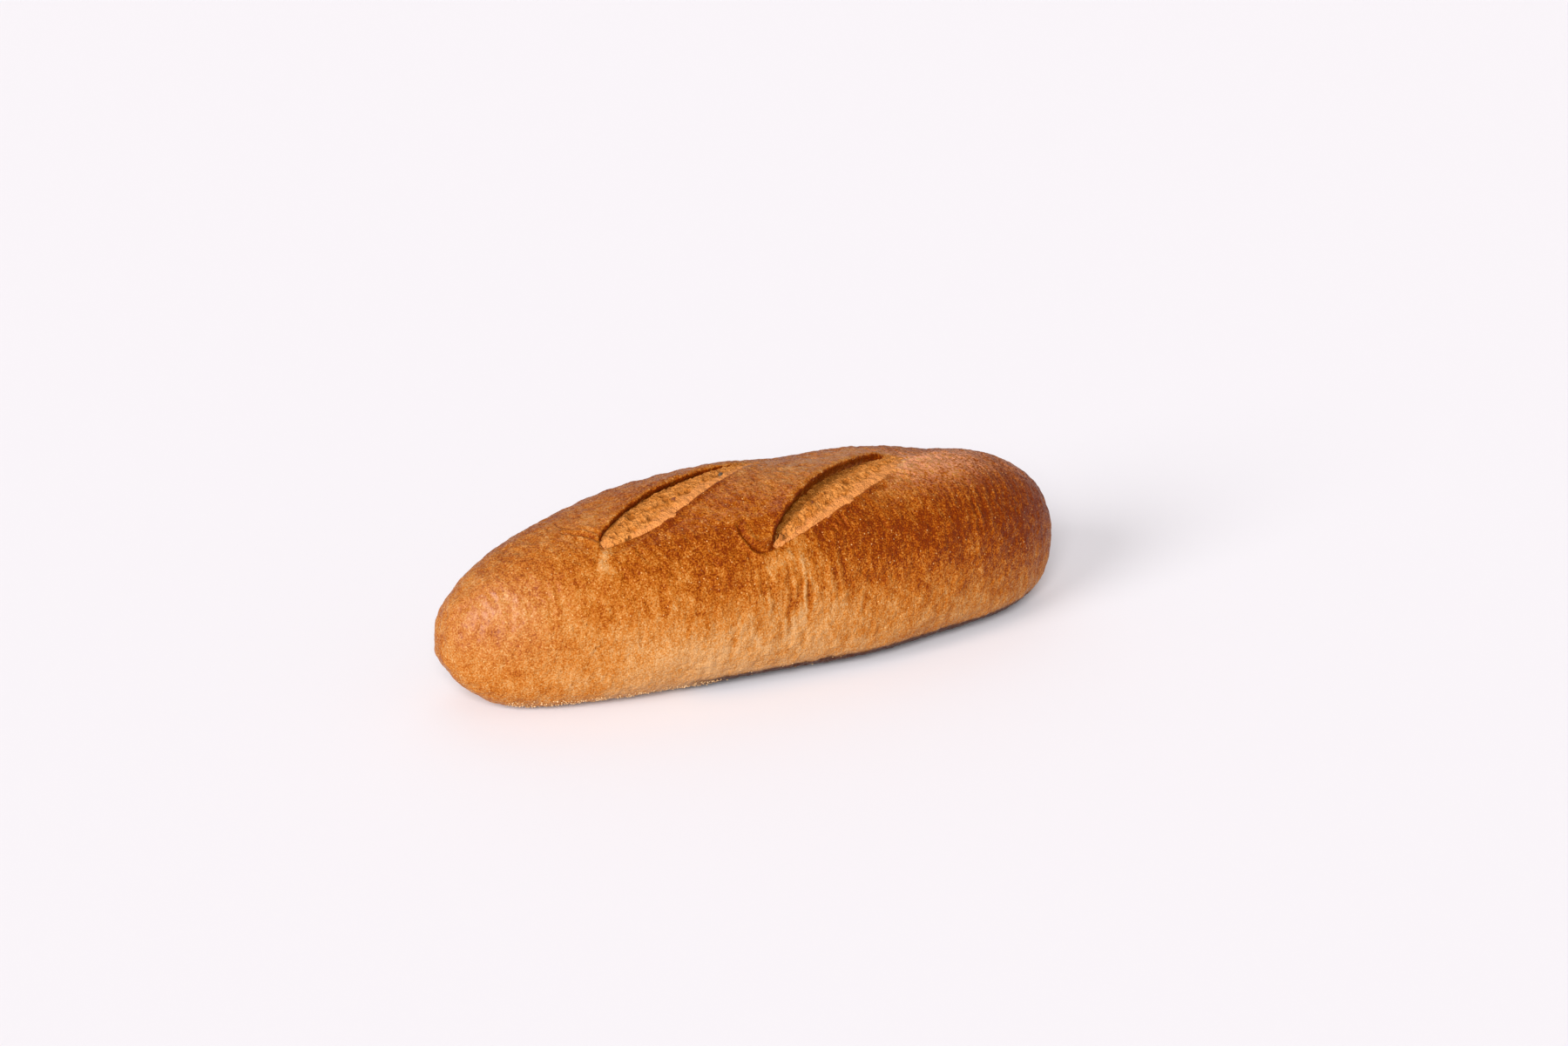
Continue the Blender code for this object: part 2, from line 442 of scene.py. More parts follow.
# %% [markdown]
# ## Skin
#
# The crust is a skin that dried while the dough under it still grew. So it has broad soft
# lumps, a fine crinkle all over, and stretch marks that run across the loaf, strongest
# below the second score where it was pulled most. Stretch marks are the same noise with
# its coordinates squeezed, so that the hills become long and thin; bending those
# coordinates first keeps the marks from looking combed.

# %% Crinkles and stretch marks
LUMP, DENT, PEBBLE, CRINKLE, STREAK = (
    height * MM for height in (0.32, 0.22, 0.21, 0.15, 0.27)
)
MARK_BEND, MARK_SIZE, MARK_SQUEEZE = 0.9 * MM, 1.5 * MM, 0.12
SLIGHT_STRETCH = 0.16
STRETCH_PATCHES = (
    # centre and reach in millimetres, amount
    ((-4, -30, 26), (17, 12, 11), 0.95),
    ((18, -28, 30), (14, 10, 12), 0.45),
    ((56, -22, 34), (22, 12, 12), 0.75),
    ((-34, -28, 28), (16, 10, 10), 0.35),
)


def stretch_of(places):
    """How much the skin was pulled: 0 not, 1 most."""
    stretch = SLIGHT_STRETCH + sum(
        amount * spot(places / MM, centre, reach) for centre, reach, amount in STRETCH_PATCHES
    )
    return stretch * ease_between(3 * MM, 11 * MM, places[:, 2])


def marks_of(places):
    """Long thin hills across the loaf, about -1 to 1."""
    bent = places.copy()
    bent[:, 0] += MARK_BEND * hills(places, 6 * MM, seed=14)
    marks = layered(bent * (1, MARK_SQUEEZE, MARK_SQUEEZE), MARK_SIZE, 2, seed=5)
    return marks * (1 + 0.8 * hills(places, 9 * MM, seed=15))


def skin_of(places):
    """Height of the skin's relief."""
    relief = LUMP * layered(places, 15 * MM, 2, seed=7)
    relief += DENT * hills(places, 4.6 * MM, seed=9)
    relief += PEBBLE * hills(places * (1, 0.75, 0.75), 1.9 * MM, seed=6)
    relief += CRINKLE * (1 - 2 * np.abs(layered(places, 2.4 * MM, 2, seed=8)))
    relief += STREAK * stretch_of(places) * marks_of(places)
    return relief * ease_between(0.2 * MM, 3 * MM, places[:, 2])


def in_scores(places, near=-2.0):
    """1 inside an opening, 0 outside; near cuts off its near side, in half widths."""
    inside = np.zeros(len(places))
    for score in SCORES:
        share, across, half = score_map(score, places)
        width = ease_between(1.12, 0.9, np.abs(across) / half)
        width = width * ease_between(near, near + 0.4, across / half)
        ends = ease_between(-0.02, 0.04, share) * ease_between(1.02, 0.96, share)
        inside = np.maximum(inside, width * ends * (places[:, 2] > TINT_ZONE))
    return inside


places, normals = read(crust), read(crust, "normal")
relief = skin_of(places) * (1 - in_scores(places))
write(crust, places + normals * relief[:, None])
print("skin relief from", (relief.min() / MM).round(2), "to", (relief.max() / MM).round(2))

# %% [markdown]
# The net is now finer than it has to be. A decimation merges faces where the skin is
# smooth, as on the foot, and leaves the folds alone.

# %% Fewer faces
CRUST_TRIANGLES = 190_000

modify(crust, "TRIANGULATE")
ratio = CRUST_TRIANGLES / len(crust.data.polygons)
modify(crust, "DECIMATE", ratio=min(1.0, ratio))
print("crust:", len(crust.data.polygons), "triangles kept")

# %% [markdown]
# ## How well each place is baked
#
# The oven's heat comes from above, so a roll is pale at its foot, gold on its flank and
# brown on its shoulders. This one is much darker towards its blunt end. So three curves
# give the browning by height, one for the slim end, one for the middle and one for the
# blunt end, and the places between are blended. Patches add what is special. Noise breaks
# up the borders, and stretched skin is paler, because it came up late. The crust beside a
# score is darker, creases take painted shade, and the wall under each lip is painted dark
# as its shadow. The result is one number for each point, which the material turns into
# colour. Flour dust with painted sheen, a dark heel band of painted contact shade with
# some browning, and the slim end's shine are numbers of their own.

# %% Bake
BAKE_STATIONS = (-75, -30, 40)
BAKE_HEIGHTS = (0, 8, 14, 20, 26, 32, 38, 44, 51)
# The top values, at 51 mm, are paler in part as painted sheen where light grazes the crest.
BAKE_CURVES = (
    (0.28, 0.33, 0.35, 0.40, 0.38, 0.38, 0.50, 0.40, 0.24),
    (-0.10, -0.02, 0.03, 0.16, 0.41, 0.57, 0.68, 0.74, 0.40),
    (0.18, 0.26, 0.34, 0.45, 0.64, 0.86, 0.88, 0.62, 0.02),
)
BAKE_WANDER = 2.4           # how far noise shifts the curves, in millimetres
BAKE_MOTTLE = 0.10
STRETCH_PALE = 0.34
# the last of these is painted shadow on the wall under each lip
NEAR_EDGE_BROWN, LIP_BROWN, LIP_WALL_SHADOW = 0.22, 0.18, 0.55
BAKE_PATCHES = (
    # centre and reach in millimetres, amount
    # stretched skin below the hook, and beside it
    ((-5, -30, 35), (9, 8, 6), -0.22),
    ((5, -31, 30), (10, 8, 9), -0.16),
    ((2, -31, 21), (14, 8, 7), -0.12),
    ((1, -27, 39), (6, 5, 4), -0.16),
    ((-8, -29, 36), (7, 4, 3.5), -0.18),
    # the lobe inside the hook, and the dark skin beside it
    ((-10, -23, 43), (3, 3, 3), -0.04),
    ((-19, -22, 42), (4, 6, 5), 0.14),
    # the skin between the scores
    ((-12, -8, 49), (13, 9, 5), 0.30),
    ((16, 4, 50), (14, 7, 5), 0.08),
    # the pale skin pulled down from the first score
    ((-51, -18, 39), (4.6, 5, 5), -0.20),
    ((-60, -24, 30), (12, 8, 9), -0.06),
    # dark shoulders beside the second score
    ((18, -25, 40), (8, 5, 5), 0.14),
    # paler skin past the second score's far end
    ((50, -4, 48), (14, 8, 5), -0.26),
    ((-52, -4, 47), (12, 8, 5), -0.15),
    # the blunt end, dark almost down to its foot
    ((70, -20, 22), (16, 12, 14), 0.28),
    ((88, -6, 28), (12, 14, 14), 0.22),
)


def bake_of(places):
    """How dark the crust is baked: 0 pale, 1 deep brown."""
    spots = places / MM
    height = spots[:, 2] + BAKE_WANDER * layered(places, 12 * MM, 3, seed=21)
    levels = np.array([np.interp(height, BAKE_HEIGHTS, curve) for curve in BAKE_CURVES])
    along = np.interp(spots[:, 0], BAKE_STATIONS, (0, 1, 2))
    first = np.clip(along.astype(int), 0, 1)
    share = along - first
    each = np.arange(len(places))
    bake = levels[first, each] * (1 - share) + levels[first + 1, each] * share
    for centre, reach, amount in BAKE_PATCHES:
        bake += amount * spot(spots, centre, reach)
    bake += BAKE_MOTTLE * hills(places, 5 * MM, seed=23)
    bake -= STRETCH_PALE * stretch_of(places) * marks_of(places)
    return bake


# Flour dust and painted sheen: a pale pinkish tone on the crest, the rims and the slim end.
DUST_SHEEN_FILM, DUST_SHEEN_LIMIT = 0.13, 0.8
DUST_SHEEN_PATCHES = (
    # the slim end, the crest past the scores, the blunt end's rim: mostly painted sheen where
    # light grazes
    ((-80, -9, 29), (9, 10, 8), 0.12),
    ((56, -3, 47), (22, 10, 6), 0.80),
    ((86, 0, 40), (9, 12, 7), 0.65),
)


def dust_and_sheen_of(places, normals):
    """Flour dust from the peel and painted sheen, most on what faces up and on the rims."""
    dust = DUST_SHEEN_FILM * ease_between(0.80, 0.99, normals[:, 2])
    dust *= ease_between(36 * MM, 47 * MM, places[:, 2])
    for centre, reach, amount in DUST_SHEEN_PATCHES:
        dust += amount * spot(places / MM, centre, reach)
    dust *= 1 - np.clip(in_scores(places) + near_edge_of(places), 0, 1)
    return np.clip(dust * (1 + 0.5 * hills(places, 4 * MM, seed=31)), 0, DUST_SHEEN_LIMIT)


# The heel band is painted contact shade along the foot, partly browning of the crust.
HEEL_SHADE_TOP = (6.2 * MM, 4.8 * MM)
HEEL_SHADE_START = (-36 * MM, -22 * MM)


def heel_shade_of(places):
    """1 on the rim of the foot towards the blunt end: painted contact shade, with some browning
    from the hot plate.
    """
    height = places[:, 2] + 0.5 * MM * layered(places, 5 * MM, 2, seed=35)
    return ease_between(*HEEL_SHADE_TOP, height) * ease_between(*HEEL_SHADE_START, places[:, 0])


def gloss_of(places):
    """How glossy the skin is: only the slim end shines, as if it was brushed with water."""
    return spot(places / MM, (-78, -12, 30), (14, 14, 12))


def beside_scores(places, side, gap, reach, start, stop):
    """1 on the crust beside the scores: side 1 is behind the lips, -1 at the near edges."""
    band = np.zeros(len(places))
    for score in SCORES:
        share, across, half = score_map(score, places)
        strip = np.exp(-(((side * across - half - gap) / reach) ** 2))
        band += strip * ease_between(*start, share) * ease_between(*stop, share)
    return band * (places[:, 2] > TINT_ZONE)


def lip_of(places):
    """1 on the crust just behind a score's lip."""
    return beside_scores(places, 1, 1.6 * MM, 2.0 * MM, (0.0, 0.15), (1.0, 0.85))


def near_edge_of(places):
    """1 on the crust just outside a score's near edge."""
    return beside_scores(places, -1, 1.1 * MM, 1.1 * MM, (0.1, 0.3), (0.85, 0.6))


places, normals = read(crust), read(crust, "normal")
bake = bake_of(places) + NEAR_EDGE_BROWN * near_edge_of(places) + LIP_BROWN * lip_of(places)
# Crease tints: painted shade in the grooves, and pale skin where the tint is below 0.
bake += sum(crease(places, normals, stroke)[1] for stroke in STROKES)
# Painted shadow on the steep wall under each lip, inside the opening.
steep = ease_between(0.75, 0.35, normals[:, 2])
bake += LIP_WALL_SHADOW * in_scores(places, near=0.1) * steep
paint(crust, "bake", bake)
paint(crust, "stretch", stretch_of(places))
paint(crust, "dust", dust_and_sheen_of(places, normals))
paint(crust, "heel", heel_shade_of(places))
paint(crust, "gloss", gloss_of(places))
print("bake from", bake.min().round(2), "to", bake.max().round(2))
pick(crust)
bpy.ops.object.shade_smooth()
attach(crust, "root")
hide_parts("bread_roll")

# %% [markdown]
# ## Crumb
#
# Inside the scores the soft crumb shows: torn, dry and full of small pores. It needs a
# finer net than the crust, so it is a piece of its own for each score. A grid is laid over
# the score's map, follows a profile from the crust's level at the near edge to deep under
# the lip, and reaches a little way under the crust on both sides. Then it is roughened,
# pierced with pores of many sizes and closed with a floor.

# %% Crumb surfaces
CRUMB_STEP = 0.19 * MM
TUCK = 1.6 * MM             # how far the crumb reaches under the crust
TUCK_SLOPE = 0.75           # and how fast it goes down there
TUCK_RAG, TUCK_RISE = 0.60, 0.05  # its unevenness there and its lift, in millimetres
CRUMB_DROP = 0.8 * MM       # how far below the lip the crumb ends
CROWN_BULGE = 0.55          # how much it rises between the edges, in millimetres
PINCH = 1.5                 # how far it goes down beside the wedge, in millimetres
BODY = 1.2 * MM             # its thickness


def crumb_height(score, heights, share, strip):
    """Height of smooth crumb at a place on a score's map; strip is -1 near, 1 lip."""
    near, lip = (np.interp(share, SHARES, column) for column in heights.T)
    level = near + (lip - CRUMB_DROP - near) * np.clip((strip + 1) / 2, 0, 1)
    bulge = CROWN_BULGE * np.clip(1 - strip * strip, 0, 1)
    profile = np.interp(strip, *np.array(score.profile).T)
    fade = ease_between(1.0, 0.55, share)
    border = border_of(score, share)
    pinch = PINCH * ease_between(border, border - 0.5, strip) * (border > -0.97)
    return level + (bulge + profile * (0.40 + 0.60 * fade) - pinch) * MM


def tuck_under(plan, height, outside):
    """Keep crumb that lies outside the score under the crust; outside is in metres."""
    spots = np.column_stack((plan, height))
    ragged = (TUCK_RAG * layered(spots, 3.2 * MM, 3, seed=33) + TUCK_RISE) * MM
    for index in np.flatnonzero(outside > 0):
        cover = feel(plan[index]) + ragged[index] - TUCK_SLOPE * outside[index]
        height[index] = min(height[index], cover)
    return height


def make_crumb(name, score, heights):
    """A score's crumb, before it is roughened."""
    length = score_axes(score)[3]
    columns = int(length / CRUMB_STEP)
    rows = int((score.width * MM + 2 * TUCK) / CRUMB_STEP)
    bpy.ops.object.select_all(action="DESELECT")
    bpy.ops.mesh.primitive_grid_add(x_subdivisions=columns, y_subdivisions=rows, size=2)
    crumb = bpy.context.object
    crumb.name = crumb.data.name = name
    grid = read(crumb)
    share = 0.505 + 0.485 * grid[:, 0]
    half = half_width(score, share)
    strip = grid[:, 1] * (half + TUCK) / half
    plan = on_plan(score, share[:, None], (strip * half)[:, None])
    height = crumb_height(score, heights, share, strip)
    height = tuck_under(plan, height, (np.abs(strip) - 1) * half)
    write(crumb, np.column_stack((plan, height)))
    return crumb, share, strip


# %% [markdown]
# Torn crumb is a fine sponge. Layered noise gives its blobs and grains, and pits of three
# sizes give its pores; bending the places first keeps the pores from being round.
# Along the near edge the crumb is closed to a smooth pale skin, so both fade out there.

# %% Roughening
PORES = (
    # spacing of the pits, depth
    (2.3 * MM, 0.75 * MM), (1.15 * MM, 0.38 * MM), (0.62 * MM, 0.16 * MM),
)
# A pore this deep gets its full painted shade.
OPEN_PORE = 0.45 * MM       # a pore this deep has its full colour
# Painted shade under the lip: the first score is shallow, so it gets less.
LIP_SHADE_TINT = (0.30, 1.0)     # the first score is shallow, so its crumb is less dark


def sponge(places, seed):
    """Depth of all pores together."""
    bent = places + 0.30 * MM * np.column_stack(
        [hills(places, 0.8 * MM, seed + axis) for axis in range(3)]
    )
    depths = [
        depth * pits(bent, spacing, seed + number)
        for number, (spacing, depth) in enumerate(PORES)
    ]
    return np.maximum.reduce(depths)


def roughen(crumb, score, share, strip, seed):
    """Tear the crumb's surface, pierce its pores, and store painted shade for the pores and for
    the crumb deep under the lip.
    """
    places, normals = read(crumb), read(crumb, "normal")
    wander = strip + 0.26 * layered(places, 3.0 * MM, 3, seed)
    torn = ease_between(-0.70, -0.42, wander) * ease_between(-0.02, 0.10, share)
    blobs = 0.30 * hills(places, 3.6 * MM, seed + 1)
    blobs = blobs + 0.28 * hills(places, 1.7 * MM, seed + 6)
    grains = layered(places, 0.8 * MM, 2, seed + 2)
    relief = (blobs + 0.20 * grains * (0.2 + 0.8 * torn)) * MM
    pores = sponge(places, seed) * (0.10 + 0.90 * torn)
    write(crumb, places + normals * (relief - pores)[:, None])
    # painted shade on the crumb where it lies deep under the lip
    deep = ease_between(0.05, 0.80, strip + 0.15 * hills(places, 3 * MM, seed + 5))
    deep *= 0.35 + 0.65 * ease_between(0.95, 0.45, share)
    paint(crumb, "torn", torn)
    paint(crumb, "pore", np.clip(pores / OPEN_PORE - 0.35 * grains, 0, 1))
    paint(crumb, "deep", deep * LIP_SHADE_TINT[SCORES.index(score)])


def close_floor(crumb):
    """Give the crumb a body under its surface."""
    modify(crumb, "SOLIDIFY", thickness=BODY, offset=-1)
    pick(crumb)
    bpy.ops.object.shade_smooth()


# a tear along the second score's near end
TEAR = Stroke(((-2.6, -25.6), (0.5, -25.0), (3.7, -24.2), (5.8, -22.9), (9.0, -21.4),
               (14.0, -18.2)), 0.50, 0.45, 0.15, 0)
crumbs = []
for number, (score, heights) in enumerate(zip(SCORES, edges), start=1):
    crumb, share, strip = make_crumb(f"crumb_{number}", score, heights)
    roughen(crumb, score, share, strip, seed=40 + number)
    if score is SCORES[1]:
        places, normals = read(crumb), read(crumb, "normal")
        write(crumb, places + normals * crease(places, normals, TEAR)[0][:, None])
    close_floor(crumb)
    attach(crumb, "root")
    crumbs.append(crumb)
    print(crumb.name, len(crumb.data.polygons), "faces")

# %% [markdown]
# ## Semolina
#
# The roll was proved on semolina, and coarse grains of it still stick under the edge, most
# of them at the near left. One grain is a squashed ball of twenty faces. It is copied some
# hundreds of times, each copy with its own place, turn and size, and all are one mesh.
# A ray shot at the heel says where a grain touches it.

# %% One grain and its copies
GRAIN_SIZES = (0.25, 0.62)  # millimetres
GRAIN_LIFT = 0.22           # how far a grain's middle stands off, in grain sizes
BESIDE = 60                 # how far beside the roll a ray starts, in millimetres
GRAIN_PATCHES = (
    # how many, along the roll from and to, height from and to, side: -1 near, 1 far
    (420, -78, -22, 1.0, 4.4, -1),
    (40, -84, 10, 1.0, 7.0, -1),
    (150, -76, 70, 1.5, 6.0, 1),
)


def one_grain():
    """Corners and faces of one grain, one metre across."""
    bpy.ops.object.select_all(action="DESELECT")
    bpy.ops.mesh.primitive_ico_sphere_add(subdivisions=1, radius=0.5)
    grain = bpy.context.object
    corners = read(grain)
    faces = np.array([face.vertices[:] for face in grain.data.polygons])
    bpy.ops.object.delete()
    return corners, faces


def turned(corners, draw):
    """Corners turned at random."""
    rows = np.array([[draw.gauss(0, 1) for _ in range(3)] for _ in range(3)])
    spin = np.linalg.qr(rows)[0]
    return corners @ (spin * np.sign(np.linalg.det(spin)))


def scatter_grains(name, tree, patches, seed):
    """One mesh of many grains that touch a surface."""
    corners, faces = one_grain()
    draw = random.Random(seed)
    all_corners, all_faces = [], []
    for count, start, end, bottom, top, side in patches:
        for _ in range(count):
            x, z = draw.uniform(start, end), draw.uniform(bottom, top)
            origin = Vector((x, side * BESIDE, z)) * MM
            hit, normal, _, _ = tree.ray_cast(origin, Vector((0, -side, 0)))
            if hit is None:
                continue
            size = draw.uniform(*GRAIN_SIZES) * MM
            width, thickness = draw.uniform(0.6, 0.9), draw.uniform(0.5, 0.8)
            shape = np.array([size, size * width, size * thickness])
            all_faces.append(faces + len(all_corners) * len(corners))
            centre = np.array(hit + normal * size * GRAIN_LIFT)
            all_corners.append(turned(corners * shape, draw) + centre)
    mesh = bpy.data.meshes.new(name)
    mesh.from_pydata(np.vstack(all_corners).tolist(), [], np.vstack(all_faces).tolist())
    grains = bpy.data.objects.new(name, mesh)
    bpy.context.collection.objects.link(grains)
    print(name, len(all_corners), "grains")
    return grains


crust_tree = BVHTree.FromObject(crust, bpy.context.evaluated_depsgraph_get())
semolina = scatter_grains("semolina", crust_tree, GRAIN_PATCHES, seed=61)
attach(semolina, "root")

# %% [markdown]
# ## A seed and some bran
#
# One dark seed lies on the first score's crumb, near its far end, and a few flakes of bran
# stick in the crumb. The seed is a ball, drawn out and narrowed towards its ends. A flake
# is a flattened ball, bent by noise.

# %% Seed and bran
SEED_PLACE, SEED_SIZE, SEED_TURN = (-9.3, -0.2), (2.9, 1.35, 0.95), 10
FLAKES = (
    # the score it lies in, place on the plan and length in millimetres, turn in degrees
    (0, (-26.2, -6.4), 1.9, 50), (0, (-38.7, -14.7), 1.5, -20), (0, (-31.0, -9.5), 0.9, 10),
    (1, (9.5, -17.5), 0.9, 70), (1, (24.0, -8.0), 0.8, 0),
)


def lay(thing, tree, plan, sink=0.0):
    """Lay a piece on a surface, sunk by so many millimetres, and apply its place."""
    above = Vector((*plan, HIGH_UP / MM)) * MM
    hit, normal, _, _ = tree.ray_cast(above, Vector((0, 0, -1)))
    thing.rotation_euler = normal.to_track_quat("Z", "Y").to_euler()
    thing.location = hit - normal * sink * MM
    pick(thing)
    bpy.ops.object.transform_apply(location=True, rotation=True, scale=True)


def ball(name, size, turn, bend, seed):
    """A ball drawn out to a size, turned on the plan and bent by noise."""
    bpy.ops.object.select_all(action="DESELECT")
    bpy.ops.mesh.primitive_uv_sphere_add(segments=24, ring_count=14, radius=0.5)
    thing = bpy.context.object
    thing.name = thing.data.name = name
    places = read(thing)
    narrow = 1 - 0.45 * np.abs(2 * places[:, :1]) ** 2
    places[:, 1:] *= narrow
    places *= np.array(size) * MM
    places += read(thing, "normal") * (bend * MM * hills(places, 0.7 * MM, seed))[:, None]
    angle = math.radians(turn)
    places[:, :2] = places[:, :2] @ ((math.cos(angle), math.sin(angle)),
                                     (-math.sin(angle), math.cos(angle)))
    write(thing, places)
    bpy.ops.object.shade_smooth()
    return thing


crumb_trees = [
    BVHTree.FromObject(crumb, bpy.context.evaluated_depsgraph_get()) for crumb in crumbs
]
seed = ball("seed", SEED_SIZE, SEED_TURN, 0.05, 71)
lay(seed, crumb_trees[0], SEED_PLACE, sink=-0.1)
flakes = []
for number, (where, plan, length, turn) in enumerate(FLAKES):
    flake = ball(f"flake_{number}", (length, length * 0.6, 0.35), turn, 0.12, 80 + number)
    lay(flake, crumb_trees[where], plan, sink=0.02)
    flakes.append(flake)
bpy.ops.object.select_all(action="DESELECT")
for flake in flakes:
    flake.select_set(True)
bpy.context.view_layer.objects.active = flakes[0]
bpy.ops.object.join()
bran = bpy.context.object
bran.name = bran.data.name = "bran"
for piece in (seed, bran):
    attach(piece, "root")

# %% [markdown]
# ## Shader arithmetic
#
# A finish is a small sum: so much brown, a little less where the skin stretched. Written
# as nodes such a sum is hard to read, so a small class wraps a socket and lets Python's
# own signs add the Math nodes. One method makes every other node.


# %% Shader helpers
class Socket:
    """A shader value that takes part in Python sums."""

    def __init__(self, finish, plug):
        self.finish = finish
        self.plug = plug

    def __add__(self, other):
        return self.finish.math("ADD", self, other)

    def __sub__(self, other):
        return self.finish.math("SUBTRACT", self, other)

    def __mul__(self, other):
        return self.finish.math("MULTIPLY", self, other)

    __radd__ = __add__


class Finish:
    """A material in the making."""

    def __init__(self, name, **shader_values):
        self.material = bpy.data.materials.new(name)
        self.material.use_nodes = True
        self.nodes = self.material.node_tree.nodes
        self.links = self.material.node_tree.links
        self.shader = self.nodes["Principled BSDF"]
        for title, value in shader_values.items():
            self.shader.inputs[title.replace("_", " ")].default_value = value

    def feed(self, socket, value):
        """Set a socket to a value or link it."""
        if isinstance(value, Socket):
            self.links.new(value.plug, socket)
        else:
            socket.default_value = value

    def node(self, kind, settings=None, inputs=None, output=0):
        """Add a node: its type, settings, inputs, and the output that is wanted."""
        node = self.nodes.new("ShaderNode" + kind)
        for title, value in (settings or {}).items():
            if title == "stops":
                self.set_stops(node.color_ramp, value)
            else:
                setattr(node, title, value)
        for title, value in (inputs or {}).items():
            self.feed(node.inputs[title], value)
        return Socket(self, node.outputs[output])

    def set_stops(self, ramp, stops):
        """Give a colour ramp its stops: pairs of a position and a colour."""
        while len(ramp.elements) < len(stops):
            ramp.elements.new(0.5)
        for element, (position, color) in zip(ramp.elements, stops):
            element.position = position
            element.color = (*color, 1)

    def math(self, operation, *values):
        """A Math node on two values."""
        return self.node("Math", {"operation": operation}, dict(enumerate(values)))

    def mix(self, share, first, second):
        """A mix of two colours."""
        colors = [
            value if isinstance(value, Socket) else (*value, 1) for value in (first, second)
        ]
        inputs = {0: share, 6: colors[0], 7: colors[1]}
        return self.node("Mix", {"data_type": "RGBA"}, inputs, output=2)

    def step(self, value, start, end):
        """0 to 1 as a value goes from start to end, smoothly."""
        inputs = {"Value": value, "From Min": start, "From Max": end}
        return self.node("MapRange", {"interpolation_type": "SMOOTHSTEP"}, inputs)

    def place(self, stretch, seed):
        """The place on the object, stretched and shifted."""
        place = self.node("TexCoord", output="Object")
        inputs = {"Vector": place, "Scale": stretch, "Location": (seed,) * 3}
        return self.node("Mapping", inputs=inputs)

    def grain(self, size, detail=2, stretch=(1, 1, 1), seed=0):
        """Noise from 0 to 1 with grains about size across, in metres."""
        place = self.place(stretch, seed)
        inputs = {"Vector": place, "Scale": 1 / size, "Detail": detail, "Roughness": 0.6}
        return self.node("TexNoise", inputs=inputs)

    def specks(self, spacing, size, seed=0):
        """Round specks, 1 in their middle, each in its own cell of a Voronoi pattern."""
        inputs = {"Vector": self.place((1, 1, 1), seed), "Scale": 1 / spacing}
        distance = self.node("TexVoronoi", inputs=inputs, output="Distance")
        color = self.node("TexVoronoi", inputs=inputs, output="Color")
        draw = self.node("SeparateColor", inputs={"Color": color}, output="Red")
        return self.step(distance, size / spacing, 0.0) * self.step(draw, 0.55, 0.75)

    def attribute(self, name):
        """A number that was painted on the mesh."""
        return self.node("Attribute", {"attribute_name": name}, output="Fac")

    def end(self, **inputs):
        """Link what changes over the surface to the shader."""
        for title, value in inputs.items():
            self.feed(self.shader.inputs[title.replace("_", " ")], value)
        return self.material


class Sky(Finish):
    """The world's light in the making."""

    def __init__(self, world):
        self.nodes = world.node_tree.nodes
        self.links = world.node_tree.links
        self.shader = self.nodes["Background"]


# %% [markdown]
# ## The crust's finish
#
# Bake becomes colour through a ramp from pale foot to deep shoulder. Mottling shifts the
# place on the ramp and never mixes in grey, because browning is what varies. Over it lie
# a pebbly dust that also carries painted sheen, the dark heel band of painted contact shade,
# pale specks of flour that also stand for painted glints, and tiny dark pits. The skin is
# nearly dull, and the slim end has a weak coat. What is finer than the net, the sandpaper
# grain, goes into a bump.

# %% Crust finish
CRUST_RAMP = (
    (0.02, (0.492, 0.258, 0.104)),
    (0.10, (0.454, 0.214, 0.070)),
    (0.26, (0.410, 0.156, 0.031)),
    (0.42, (0.356, 0.104, 0.009)),
    (0.58, (0.272, 0.063, 0.0022)),
    (0.74, (0.192, 0.034, 0.0007)),
    (0.92, (0.135, 0.018, 0.0006)),
)
DUST_AND_SHEEN = (0.600, 0.238, 0.118)
HEEL_SHADE_BROWN = (0.060, 0.013, 0.002)
# the colour of flour specks, which also stand for painted glints
FLOUR_AND_GLINT = (0.80, 0.46, 0.18)
PIT = (0.13, 0.030, 0.003)
MOTTLE, BLOTCH, GRIT = 0.50, 0.75, 1.40  # the noise's three sizes and their shares
STREAKS = 0.55
BAKE_GAIN, BAKE_START = 0.8, 0.07        # from the painted bake to a place on the ramp
SKIN_BUMP = 0.42 * MM


